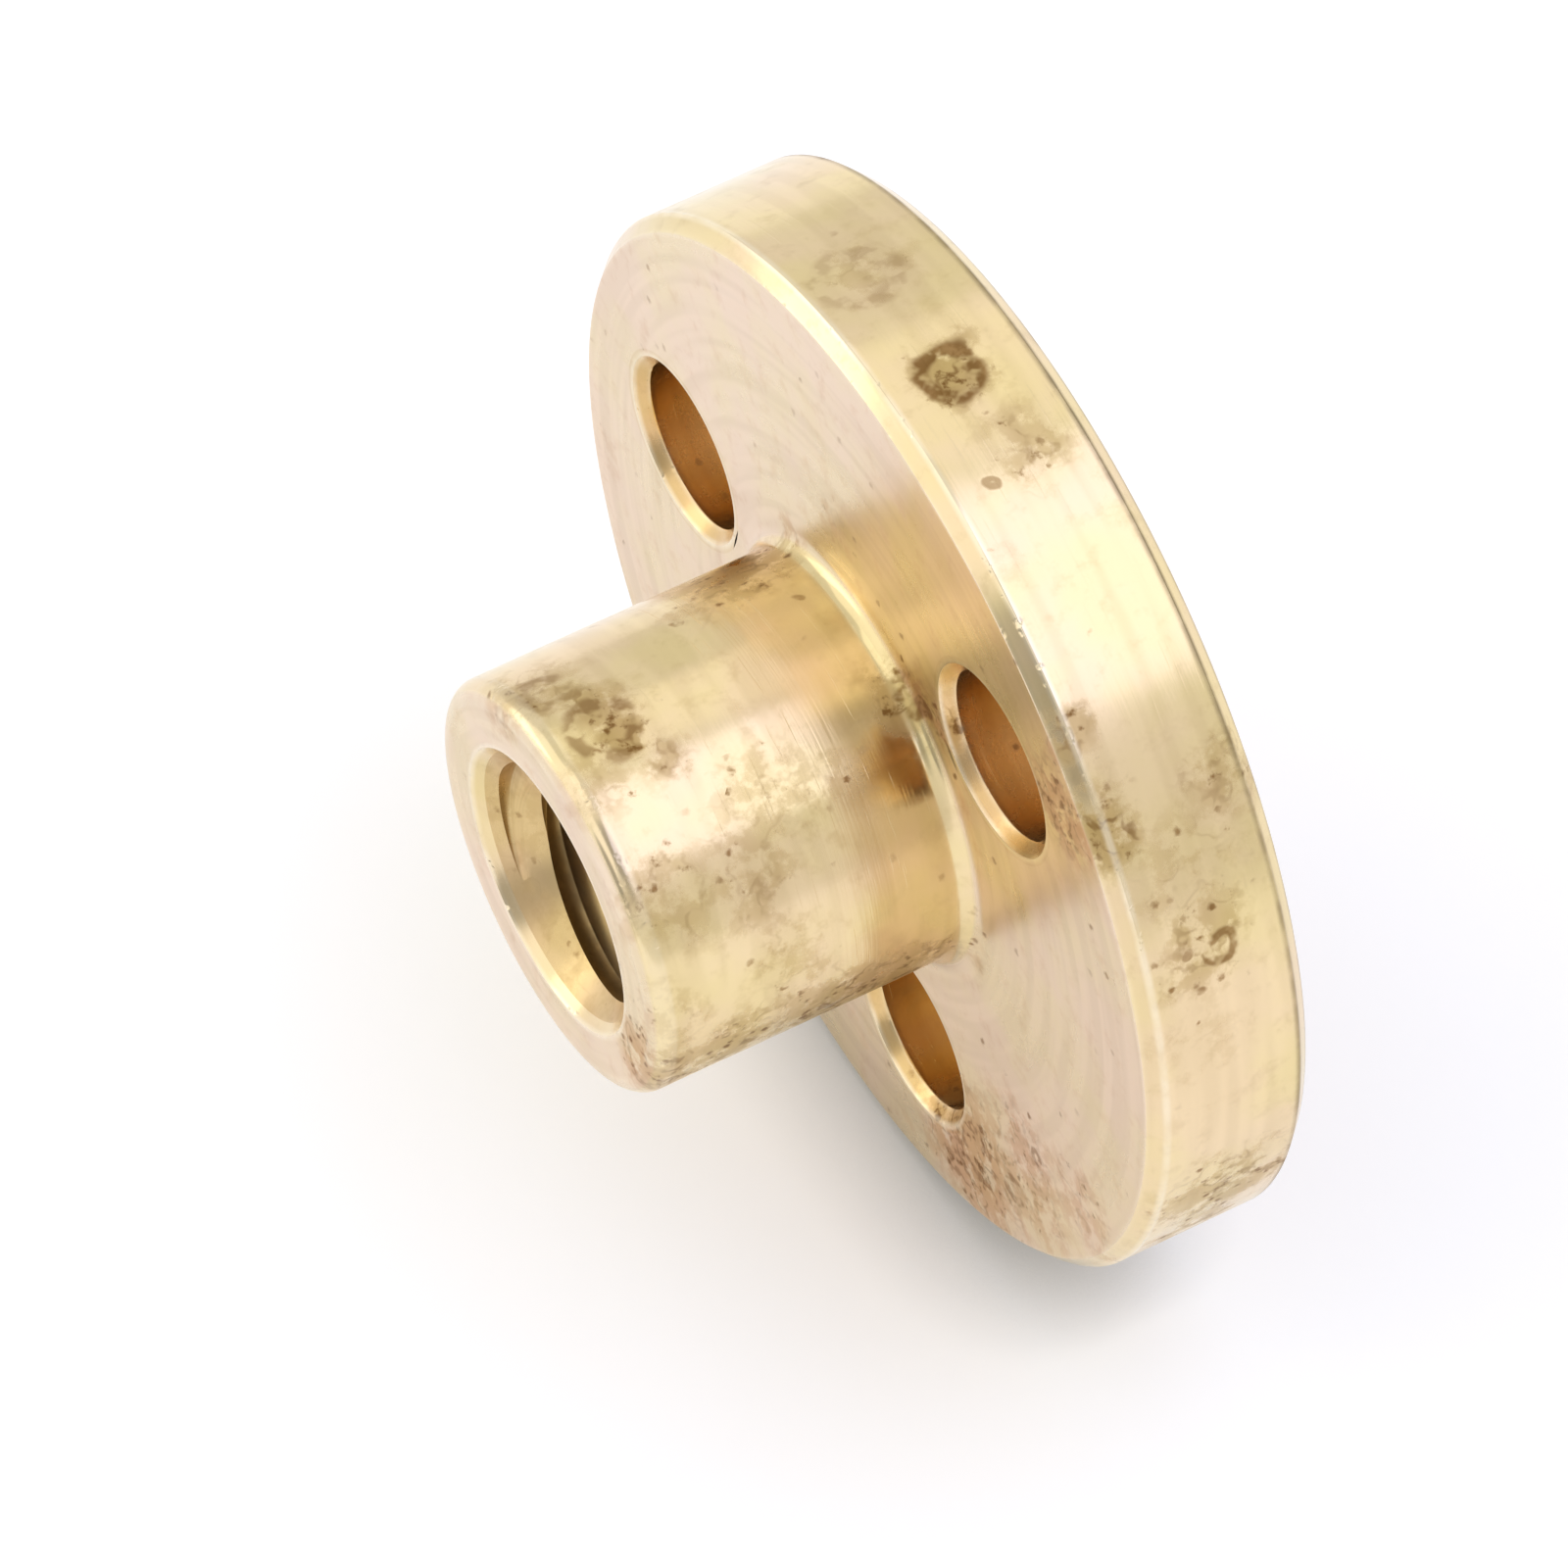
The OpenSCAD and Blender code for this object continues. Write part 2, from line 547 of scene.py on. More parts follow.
along = blend(marks, flat, x, radius)
rate = blend(marks, flat, given["Marks a millimetre"], given["On faces"])
ring = calc(marks, "MULTIPLY", along, rate)
ring = node(marks, "ShaderNodeCombineXYZ", {"X": ring}).outputs[0]
way_round = node(marks, "ShaderNodeVectorMath", {0: across}, operation="NORMALIZE").outputs[0]
inputs = {0: way_round, "Scale": BREAK_UP}
spread = node(marks, "ShaderNodeVectorMath", inputs, operation="SCALE").outputs[0]
ring_place = node(marks, "ShaderNodeVectorMath", {0: ring, 1: spread}, operation="ADD").outputs[0]
ring_height = noise(marks, ring_place, scale=1.0, detail=1.0)
marks.links.new(ring_height, result["Height"])
marks.links.new(flat, result["Flat"])
print("tool_marks has", len(marks.nodes), "nodes")

# %% [markdown]
# ## Tarnish and painted shade
#
# Bare brass goes dull where it has been touched. Coolant and fingers leave olive clouds and small
# brown specks, gathered in a few places, with clean metal between them. A texture alone would
# spread them evenly. So a list says where they gather, as turns about the axis, stations along it
# and distances from it. A second list holds single drops, which leave only a thin outline when
# they dry. A few listed places and drops paint shade instead: on the undersides of the rim and the
# hub, and dark reflections round the hub's root and on the face and front chamfer, between turns
# of about 25 and 50 degrees.

# %% Where stains gather
# (turn in degrees, x, distance from the axis, reach, strength), lengths in mm
STAINS_AND_PAINTED_SHADE = [
    # Rim; turns 104 and 115 paint shade on its underside
    (2, 1.6, 11, 1.0, 1.0), (-15, 1.7, 11, 1.1, 0.5), (13, 2.1, 11, 1.0, 0.7),
    (50, 2.8, 11, 1.0, 0.7), (58, 1.6, 11, 1.7, 0.5), (66, 1.5, 11, 1.3, 0.7),
    (76, 1.2, 11, 1.1, 0.3), (104, 1.8, 11, 1.9, 0.8), (115, 1.6, 11, 1.4, 0.7),
    (170, 1.8, 11, 2.2, 0.7), (-100, 1.5, 11, 2.0, 0.6),
    # Hub; turns 95 to 114 paint shade on its underside, and turn 27 a dark reflection at its root
    (-8, -5.5, 4.3, 0.8, 0.85), (3, -5.2, 4.3, 0.8, 1.0), (12, -4.8, 4.3, 0.7, 0.7),
    (-22, -6.1, 4.3, 1.3, 0.7), (12, -6.3, 4.3, 1.0, 0.6), (46, -6.0, 4.3, 1.3, 0.6),
    (50, -4.4, 4.3, 1.3, 0.6), (77, -4.0, 4.3, 1.2, 0.5), (-27, -2.5, 4.3, 0.9, 0.45),
    (27, -0.3, 4.5, 1.0, 0.9), (36, -1.8, 4.3, 0.8, 0.5), (-36, -1.3, 4.3, 1.6, 0.85),
    (106, -5.2, 4.2, 1.5, 0.9), (114, -2.8, 4.2, 2.0, 1.0), (106, -6.7, 4.0, 1.4, 0.9),
    (82, -6.5, 4.2, 1.1, 0.5), (110, -1.2, 4.3, 1.3, 0.9), (34, -3.4, 4.3, 1.5, 0.5),
    (95, -3.6, 4.3, 1.3, 0.6), (190, -3.5, 4.3, 1.8, 0.7),
    # Front and back faces; turns 34 and 48 on the face, and 40 and 50 on the front chamfer, paint
    # a dark reflection
    (134, 0, 8.8, 2.2, 0.7), (120, 0, 9.8, 1.6, 0.6), (152, 0, 9.0, 2.6, 0.95),
    (-11, 0, 5.9, 0.9, 0.4), (34, 0, 5.1, 0.9, 0.9), (48, 0, 9.9, 1.5, 0.9),
    (50, 0.2, 10.9, 1.0, 1.0), (40, 0.2, 10.9, 0.7, 0.8), (60, 3.5, 8.0, 2.4, 0.6),
    (-130, 3.5, 6.0, 2.2, 0.65), (175, 3.5, 9.0, 1.5, 0.7),
]
print("stains gather at", len(STAINS_AND_PAINTED_SHADE), "places")

# %% Where drops dried
# (turn in degrees, x, distance from the axis, radius of the outline, strength), in mm
DRIED_DROPS_AND_PAINTED_SHADE = [
    # Rim
    (2, 1.6, 11, 0.56, 1.0), (67, 1.9, 11, 0.28, 0.9), (15, 1.1, 11, 0.10, 0.7),
    (-14, 1.4, 11, 0.7, 0.35), (71, 1.3, 11, 0.08, 0.9), (66, 1.2, 11, 0.08, 0.7),
    (126, 2.0, 11, 0.4, 0.8), (-80, 1.6, 11, 0.5, 0.8),
    # Hub; the three at turns 25 to 36, on the root fillet, paint a dark reflection
    (0, -5.6, 4.3, 0.62, 0.7), (6, -6.0, 4.3, 0.08, 1.0), (-24, -3.0, 4.3, 0.1, 0.7),
    (25, -0.25, 4.55, 0.14, 0.9), (31, -0.15, 4.65, 0.2, 0.9), (36, -0.1, 4.7, 0.12, 0.8),
    (-13, -0.8, 4.4, 0.08, 0.7), (-20, -6.0, 4.2, 0.5, 0.5), (160, -4.2, 4.3, 0.5, 0.8),
    # Front and back faces
    (140, 0, 9.4, 0.3, 0.8), (128, 0, 8.6, 0.15, 0.8), (66, 3.5, 8.2, 0.5, 0.8),
]
print("dried drops:", len(DRIED_DROPS_AND_PAINTED_SHADE))

# %% [markdown]
# The tarnish is a node group with three masks: a thin haze, stains and specks, and the stains and
# specks also carry the painted shade of the listed places. First it works out how much gathers at
# a point. That is most in the middle of a listed place and fades out towards its reach. Before the
# distance is measured, a noise moves the point a little way off, so that no place is a true
# circle.

# %% Start the tarnish group
# How many features a millimetre the noise has that moves the points
STRAY_SCALE = 0.9
# How far it moves a point each way, in mm, for stains and for drops
STAIN_STRAY = 0.7
DROP_STRAY = 0.3
# Shares of a place's reach where the fading starts and ends
REACH_FADE = (0.35, 1.3)


def stray(tree, place, cloud, distance):
    """Moves a place by up to a distance each way, as the colour of a noise says."""
    inputs = {0: cloud, 1: (2 * distance,) * 3, 2: place}
    pushed = node(tree, "ShaderNodeVectorMath", inputs, operation="MULTIPLY_ADD")
    inputs = {0: pushed.outputs[0], 1: (distance,) * 3}
    return node(tree, "ShaderNodeVectorMath", inputs, operation="SUBTRACT").outputs[0]


def away_from(tree, place, turn, x, distance):
    """How far a place is from a point given by its turn, station and distance from the axis."""
    angle = math.radians(turn)
    centre = (x, -distance * math.sin(angle), distance * math.cos(angle))
    away = node(tree, "ShaderNodeVectorMath", {0: place, 1: centre}, operation="DISTANCE")
    return away.outputs["Value"]


tarnish_and_painted_shade, given, result = group(
    "tarnish_and_painted_shade",
    [("Spread", "NodeSocketFloat", 0.0)],
    [("Haze", "NodeSocketFloat"), ("Stain and painted shade", "NodeSocketFloat"), ("Specks", "NodeSocketFloat")],
)
place = place_in_mm(tarnish_and_painted_shade)
inputs = {"Vector": place, "Scale": STRAY_SCALE, "Detail": 3.0}
cloud = node(tarnish_and_painted_shade, "ShaderNodeTexNoise", inputs).outputs["Color"]
stain_place = stray(tarnish_and_painted_shade, place, cloud, STAIN_STRAY)
gathered = given["Spread"]
for turn, x, distance, reach, strength in STAINS_AND_PAINTED_SHADE:
    away = away_from(tarnish_and_painted_shade, stain_place, turn, x, distance)
    starts, ends = (share * reach for share in REACH_FADE)
    inside = fade(tarnish_and_painted_shade, away, starts, ends, strength, 0)
    gathered = calc(tarnish_and_painted_shade, "MAXIMUM", gathered, inside)
print("nodes that gather the tarnish:", len(tarnish_and_painted_shade.nodes))

# %% [markdown]
# The haze is one wide faint noise. The stain is a film over the listed places, tarnish and painted
# shade alike, and a finer noise thins it into clouds. A little of those clouds strays over the
# clean metal too. A pair of numbers says from which value of a noise to which a mask comes up, and
# raising the noise where the listed places gather brings up more of the mask.

# %% Haze and stains
HAZE_FADE = (0.35, 0.65)
PATCH_FADE = (0.50, 0.72)
# How much of the film is left between the clouds
THINNEST_FILM = 0.15
# How much of the clouds shows on clean metal
CLEAN_METAL_SHARE = 0.25


def thicker(value, by):
    """Raises a value where the listed stains and painted shade gather."""
    return calc(tarnish_and_painted_shade, "ADD", value, calc(tarnish_and_painted_shade, "MULTIPLY", gathered, by))


haze = fade(tarnish_and_painted_shade, noise(tarnish_and_painted_shade, place, scale=0.35, detail=3.0), *HAZE_FADE)
clouds = noise(tarnish_and_painted_shade, place, scale=1.7, detail=5.0, roughness=0.65)
patch = fade(tarnish_and_painted_shade, thicker(clouds, by=0.2), *PATCH_FADE)
film_and_painted_shade = calc(tarnish_and_painted_shade, "MULTIPLY", gathered, fade(tarnish_and_painted_shade, patch, 0, 1, THINNEST_FILM, 1))
stain_and_painted_shade = calc(tarnish_and_painted_shade, "MAXIMUM", film_and_painted_shade, calc(tarnish_and_painted_shade, "MULTIPLY", patch, CLEAN_METAL_SHARE))
tarnish_and_painted_shade.links.new(haze, result["Haze"])
tarnish_and_painted_shade.links.new(stain_and_painted_shade, result["Stain and painted shade"])
print("nodes with haze and stains:", len(tarnish_and_painted_shade.nodes))

# %% [markdown]
# The specks are of two kinds. The peaks of one noise make crumbs of crust. Small
# dots come from a cell texture: it puts a centre in each cell, with a random value,
# and only the cells with a high value get their dot, whose edge a fine noise frays.

# %% Crumbs and dots
CRUST_FADE = (0.72, 0.86)
CELLS_A_MM = 3.4
# How far the fine noise frays a dot's edge, and where that edge lies, in cells
FRAYING = 0.6
DOT_FADE = (0.38, 0.7)
# From which random value of a cell to which its dot comes up
CHOSEN_FADE = (0.86, 1.0)

crumbs = noise(tarnish_and_painted_shade, place, scale=2.4, detail=4.0, roughness=0.62)
crust = fade(tarnish_and_painted_shade, thicker(crumbs, by=0.2), *CRUST_FADE)
cells = node(tarnish_and_painted_shade, "ShaderNodeTexVoronoi", {"Vector": place, "Scale": CELLS_A_MM}).outputs
fraying = calc(tarnish_and_painted_shade, "MULTIPLY", noise(tarnish_and_painted_shade, place, scale=9.0, detail=2.0), FRAYING)
from_centre = calc(tarnish_and_painted_shade, "ADD", cells["Distance"], fraying)
dots = fade(tarnish_and_painted_shade, from_centre, *DOT_FADE, 1, 0)
chosen = fade(tarnish_and_painted_shade, thicker(cells["Color"], by=0.3), *CHOSEN_FADE)
specks = calc(tarnish_and_painted_shade, "MAXIMUM", crust, calc(tarnish_and_painted_shade, "MULTIPLY", dots, chosen))
print("nodes with specks:", len(tarnish_and_painted_shade.nodes))

# %% [markdown]
# A drop dries from its edge, and what it carried stays there as a thin outline. Each listed drop
# gets one, at its own radius, and the three on the hub's root fillet paint a dark reflection
# there. Puddles leave longer lines, which follow the middle value of a wide noise, as a height
# line does on a map, and show where the listed stains and painted shade gather. Another noise
# wears all these lines away in places.

# %% Dried outlines
# Half widths of a drop's outline in mm, where it starts to fade and where it ends,
# each as a share of the drop's radius and a part that all drops have
LINE_CORE = (0.12, 0.02)
LINE_END = (0.35, 0.05)
# The same for a puddle's line, but in values of the noise
PUDDLE_LINE = (0.008, 0.045)
PUDDLE_STRENGTH = 0.75
# From which value of a noise to which the lines are left whole, and the least of them
WORN_FADE = (0.40, 0.56)
LEAST_LEFT = 0.15

drop_place = stray(tarnish_and_painted_shade, place, cloud, DROP_STRAY)
drops = 0.0
for turn, x, distance, size, strength in DRIED_DROPS_AND_PAINTED_SHADE:
    away = away_from(tarnish_and_painted_shade, drop_place, turn, x, distance)
    off_line = calc(tarnish_and_painted_shade, "ABSOLUTE", calc(tarnish_and_painted_shade, "SUBTRACT", away, size))
    core, end = (share * size + least for share, least in (LINE_CORE, LINE_END))
    line = fade(tarnish_and_painted_shade, off_line, core, end, strength, 0)
    drops = calc(tarnish_and_painted_shade, "MAXIMUM", line, drops)

levels = noise(tarnish_and_painted_shade, place, scale=1.3, detail=2.0)
off_middle = calc(tarnish_and_painted_shade, "ABSOLUTE", calc(tarnish_and_painted_shade, "SUBTRACT", levels, 0.5))
puddles = fade(tarnish_and_painted_shade, off_middle, *PUDDLE_LINE, PUDDLE_STRENGTH, 0)
puddles = calc(tarnish_and_painted_shade, "MULTIPLY", puddles, calc(tarnish_and_painted_shade, "MULTIPLY", gathered, gathered))
outlines = calc(tarnish_and_painted_shade, "MAXIMUM", drops, puddles)
wearing = noise(tarnish_and_painted_shade, place, scale=2.3, detail=2.0)
left = fade(tarnish_and_painted_shade, wearing, *WORN_FADE, LEAST_LEFT, 1)
# The drop outlines carry the painted dark reflection on the root fillet into the specks
specks = calc(tarnish_and_painted_shade, "MAXIMUM", calc(tarnish_and_painted_shade, "MULTIPLY", outlines, left), specks)
tarnish_and_painted_shade.links.new(specks, result["Specks"])
print("tarnish has", len(tarnish_and_painted_shade.nodes), "nodes")

# %% [markdown]
# ## Handling scratches
#
# Parts knock together in a bin. The hairline scratches are a noise stretched so far
# that its peaks become lines, laid twice in crossing directions.

# %% A node group for scratches
# Turns about the three axes, in radians, for each direction of the lines
LINE_TURNS = [(0.5, 0.9, 0.3), (-0.8, 0.4, 1.1)]
# Narrow one way and long in the others
LINE_STRETCH = (14, 0.5, 0.7)
LINE_FADE = (0.70, 0.76)

scratches, given, result = group(
    "scratches",
    [("Amount", "NodeSocketFloat", 0.5)],
    [("Lines", "NodeSocketFloat")],
)
place = place_in_mm(scratches)
lines = 0.0
for turns in LINE_TURNS:
    inputs = {"Vector": place, "Rotation": turns, "Scale": LINE_STRETCH}
    laid = node(scratches, "ShaderNodeMapping", inputs).outputs[0]
    line = fade(scratches, noise(scratches, laid, scale=1.0, detail=1.0), *LINE_FADE)
    lines = calc(scratches, "MAXIMUM", line, lines)
scratches.links.new(calc(scratches, "MULTIPLY", lines, given["Amount"]), result["Lines"])
print("scratches run in", len(LINE_TURNS), "directions")

# %% [markdown]
# ## Brass
#
# The three finishes are one metal: the turned outside, the drilled holes and the tapped thread.
# One function will make each material from the shared groups, with its own clean colour and its
# own roughness. The drilled and tapped colours are deeper and darker, which paints in the shade
# inside the holes and the bore. A metal's base colour is what it reflects head on. The flat faces
# are a little pinker and paler than the round ones, which paints in part of the paler reflection
# that those faces show. The tints below multiply the clean colour, and the last two colours take
# its place by a share.

# %% Colours of the metal, of what lies on it, and of painted highlight and shade
WHITE = (1, 1, 1, 1)
OLIVE_HAZE = (0.96, 0.955, 0.88, 1)
PINK_HAZE = (0.98, 0.94, 1.02, 1)
# Stain colours, which also paint the shade and dark reflections of some listed places
OLIVE_STAIN_AND_SHADE = (0.68, 0.61, 0.46, 1)
COPPER_STAIN_AND_SHADE = (0.76, 0.60, 0.47, 1)
SPECK_TINT = (0.44, 0.33, 0.23, 1)
BROAD_RING_TINT = (0.93, 0.92, 0.90, 1)
# A pale colour for rubbed edges, which also paints a highlight along them
BRIGHT_EDGE = (0.96, 0.86, 0.66, 1)
# Painted shade: a dark reflection on the back rim, and darker thread roots
PAINTED_SHADE_COLOUR = (0.16, 0.11, 0.055, 1)

# %% [markdown]
# The masks of one finish come from the three groups and from the wear that the edges carry. Wear
# above 0 means rubbed metal with a painted highlight, with small nicks in it, and wear below 0
# means painted shade. Noises make all three patchy, as nothing wears evenly.

# %% Masks of one finish
# From which wear to which, for rubbed edges with their painted highlight, and for painted shade
RUBBED_WEAR = (0.1, 1.0)
SHADED_WEAR = (-0.1, -1.0)
# From which value of a noise to which, and how much is left in its gaps
HIGHLIGHT_AND_RUBBED_PATCHES, LEAST_HIGHLIGHT_AND_RUBBED = (0.3, 0.6), 0.4
NICKED_PATCHES = (0.60, 0.72)
SHADE_PATCHES, LEAST_SHADE = (0.35, 0.6), 0.6
BROAD_RINGS_A_MM = 2.2
BROAD_RINGS_ON_FACES = 3.0
BROAD_RING_FADE = (0.4, 0.65)


def patchy(tree, value, cloud, patches, least=0.0):
    """Weakens a value, to its least share in the gaps of a noise."""
    return calc(tree, "MULTIPLY", value, fade(tree, cloud, *patches, least, 1))


def finish_masks(tree, marks_a_millimetre, spread):
    """Places the shared groups in a material, and gives its masks by their names."""
    place = place_in_mm(tree)
    dull = node(tree, "ShaderNodeGroup", node_tree=tarnish_and_painted_shade)
    dull.inputs["Spread"].default_value = spread
    fine = node(tree, "ShaderNodeGroup", node_tree=marks)
    fine.inputs["Marks a millimetre"].default_value = marks_a_millimetre
    broad = node(tree, "ShaderNodeGroup", node_tree=marks)
    broad.inputs["Marks a millimetre"].default_value = BROAD_RINGS_A_MM
    broad.inputs["On faces"].default_value = BROAD_RINGS_ON_FACES
    wear_and_painted_light = node(tree, "ShaderNodeAttribute", attribute_name="wear_and_painted_light").outputs["Fac"]
    worn = fade(tree, wear_and_painted_light, *RUBBED_WEAR)
    shade_from_wear = fade(tree, wear_and_painted_light, *SHADED_WEAR)
    patches = noise(tree, place, scale=1.3)
    fine_patches = noise(tree, place, scale=2.6, detail=2.0)
    return {
        "haze": dull.outputs["Haze"],
        "stain_and_painted_shade": dull.outputs["Stain and painted shade"],
        "specks": dull.outputs["Specks"],
        "flat": fine.outputs["Flat"],
        "fine rings": fine.outputs["Height"],
        "broad rings": fade(tree, broad.outputs["Height"], *BROAD_RING_FADE),
        "waves": noise(tree, place, scale=0.6, detail=1.0),
        "scratches": node(tree, "ShaderNodeGroup", node_tree=scratches).outputs["Lines"],
        "rubbed_and_highlight": patchy(tree, worn, patches, HIGHLIGHT_AND_RUBBED_PATCHES, LEAST_HIGHLIGHT_AND_RUBBED),
        "nicks": patchy(tree, worn, fine_patches, NICKED_PATCHES),
        "painted_shade": patchy(tree, shade_from_wear, patches, SHADE_PATCHES, LEAST_SHADE),
    }


# %% [markdown]
# The colour is built in layers, from the clean metal up: broad rings, haze, stains with some
# painted shade, specks, then bright rubbed edges with a painted highlight, and the painted shade
# of the back rim and the thread's roots. Stains and their painted shade darken the metal on flat
# faces to copper and elsewhere to olive.

# %% Colour of one finish
# Shares of the pale rubbed edges with their painted highlight, and of the painted shade
RUBBED_AND_HIGHLIGHT_SHARE = 0.5
PAINTED_SHADE_SHARE = 0.6


def brass_colour(tree, masks, round_colour, flat_colour):
    """The base colour of a finish, in layers from the clean metal up."""
    colour = tint(tree, masks["flat"], round_colour, flat_colour)
    rings = tint(tree, masks["broad rings"], WHITE, BROAD_RING_TINT)
    colour = tint(tree, 1.0, colour, rings, "MULTIPLY")
    warmth = tint(tree, masks["haze"], OLIVE_HAZE, PINK_HAZE)
    colour = tint(tree, 1.0, colour, warmth, "MULTIPLY")
    stain_and_painted_shade = tint(tree, masks["flat"], OLIVE_STAIN_AND_SHADE, COPPER_STAIN_AND_SHADE)
    colour = tint(tree, masks["stain_and_painted_shade"], colour, stain_and_painted_shade, "MULTIPLY")
    colour = tint(tree, masks["specks"], colour, SPECK_TINT, "MULTIPLY")
    rubbed_and_highlight = calc(tree, "MULTIPLY", masks["rubbed_and_highlight"], RUBBED_AND_HIGHLIGHT_SHARE)
    colour = tint(tree, rubbed_and_highlight, colour, BRIGHT_EDGE)
    painted_shade = calc(tree, "MULTIPLY", masks["painted_shade"], PAINTED_SHADE_SHARE)
    return tint(tree, painted_shade, colour, PAINTED_SHADE_COLOUR)


# %% [markdown]
# Roughness and height are sums: each mask adds its share. Stains, specks and the painted shade
# make the metal rougher, and rubbing makes it a little smoother. The height drives a bump and is
# in millimetres, so a tool mark is about a thousandth deep.

# %% Make the three finishes
ROUGHNESS_SHARES = {
    "haze": 0.05,
    "stain_and_painted_shade": 0.24,
    "specks": 0.15,
    "waves": 0.06,
    "fine rings": 0.08,
    "flat": 0.12,
    "scratches": 0.10,
    "painted_shade": 0.15,
    "rubbed_and_highlight": -0.05,
}
# In mm. Scratches and nicks cut into the surface, so theirs are below 0
HEIGHTS = {
    "fine rings": 0.0010,
    "waves": 0.012,
    "scratches": -0.0015,
    "nicks": -0.012,
}


def add_shares(tree, masks, start, shares):
    """Adds to a start the share of each mask."""
    total = start
    for name, share in shares.items():
        total = calc(tree, "ADD", calc(tree, "MULTIPLY", masks[name], share), total)
    return total


def brass(name, round_colour, flat_colour, roughness, marks_a_millimetre, spread):
    """One finish of brass, from its colour on round and on flat faces."""
    made = bpy.data.materials.new(name)
    made.use_nodes = True
    tree = made.node_tree
    metal = tree.nodes["Principled BSDF"]
    metal.inputs["Metallic"].default_value = 1.0
    masks = finish_masks(tree, marks_a_millimetre, spread)
    colour = brass_colour(tree, masks, round_colour, flat_colour)
    tree.links.new(colour, metal.inputs["Base Color"])
    rough = add_shares(tree, masks, roughness, ROUGHNESS_SHARES)
    tree.links.new(rough, metal.inputs["Roughness"])
    height = add_shares(tree, masks, 0.0, HEIGHTS)
    bump = node(tree, "ShaderNodeBump", {"Height": height, "Strength": 1.0, "Distance": MM})
    tree.links.new(bump.outputs[0], metal.inputs["Normal"])
    mesh.materials.append(made)
    print(f"{name}: {len(tree.nodes)} nodes")


# The flat colour is paler and pinker, which paints in part of the reflection that the flat faces
# show
brass(
    "turned_brass", round_colour=(0.86, 0.70, 0.40, 1), flat_colour=(0.83, 0.68, 0.47, 1),
    roughness=0.08, marks_a_millimetre=16, spread=0.0,
)
# The drilled and tapped colours are deeper and darker, which paints in the shade inside the holes
# and the bore
brass(
    "drilled_brass", round_colour=(0.78, 0.55, 0.26, 1), flat_colour=(0.80, 0.65, 0.42, 1),
    roughness=0.14, marks_a_millimetre=10, spread=0.15,
)
brass(
    "tapped_brass", round_colour=(0.70, 0.52, 0.26, 1), flat_colour=(0.70, 0.52, 0.26, 1),
    roughness=0.18, marks_a_millimetre=12, spread=0.3,
)

# %% [markdown]
# ## A plain studio
#
# Metal shows what is around it, so the studio matters as much as the finish. A pale paper floor
# fills the view and takes the nut's soft shadow. A little glow, which shows to the camera and in
# reflections, lifts it to white. Close to what stands on it, paper looks darker than a soft lamp's
# shadow makes it, so the floor's own material paints a contact shadow in, darker where a point is
# less open.

# %% Floor
FLOOR_HALF = 1.5
PAPER_COLOUR = (0.93, 0.93, 0.925, 1)
GLOW = 0.19
# The painted contact shadow: the paper's colour right where the nut touches it, and how far that
# shadow reaches
CONTACT_SHADOW_COLOUR = (0.46, 0.47, 0.49, 1)
CONTACT_REACH = 2.5 * MM
CONTACT_SAMPLES = 3
# From how closed to how open a point has to be to show the paper's own colour
OPEN_FADE = (0.3, 1.0)

floor_mesh = bpy.data.meshes.new("floor")
floor_mesh.from_pydata(
    [(x, y, low.z) for x, y in ((-1, -1), (1, -1), (1, 1), (-1, 1))], [], [(0, 1, 2, 3)])
floor = bpy.data.objects.new("floor", floor_mesh)
floor.scale = (FLOOR_HALF, FLOOR_HALF, 1)
bpy.context.scene.collection.objects.link(floor)
print(f"floor {2 * FLOOR_HALF:.0f} m wide, at z {low.z / MM:.2f} mm")

# %% Paper
paper = bpy.data.materials.new("white_paper")
paper.use_nodes = True
tree = paper.node_tree
tree.nodes.clear()
light_path = node(tree, "ShaderNodeLightPath").outputs
seen = calc(tree, "MAXIMUM", light_path["Is Camera Ray"], light_path["Is Glossy Ray"])
seen = calc(tree, "MAXIMUM", seen, light_path["Is Transmission Ray"])
reach = {"Distance": CONTACT_REACH}
openness = node(tree, "ShaderNodeAmbientOcclusion", reach, samples=CONTACT_SAMPLES).outputs["AO"]
# The paper's colour, darkened into a painted contact shadow where the nut is close
paper_and_contact_shadow = tint(tree, fade(tree, openness, *OPEN_FADE), CONTACT_SHADOW_COLOUR, PAPER_COLOUR)
matte = node(tree, "ShaderNodeBsdfDiffuse", {"Color": paper_and_contact_shadow}).outputs[0]
glow = node(tree, "ShaderNodeEmission", {"Color": paper_and_contact_shadow, "Strength": GLOW}).outputs[0]
lit = node(tree, "ShaderNodeAddShader", {0: matte, 1: glow}).outputs[0]
surface = node(tree, "ShaderNodeMixShader", {0: seen, 1: matte, 2: lit}).outputs[0]
node(tree, "ShaderNodeOutputMaterial", {"Surface": surface})
floor_mesh.materials.append(paper)
print("paper:", len(tree.nodes), "nodes")

# %% [markdown]
# A broad soft lamp overhead draws the bright band along the rim and the hub. Four
# weaker ones show in the surfaces that face other ways: two reflectors above, a
# window on the left for the flange's face, and a low card at the back left for the
# holes' lips. A lamp's power is worked out from its size and from how bright its face
# should look, so a larger lamp looks just as bright.

# %% Lamps
LAMP_DISTANCE = 0.6


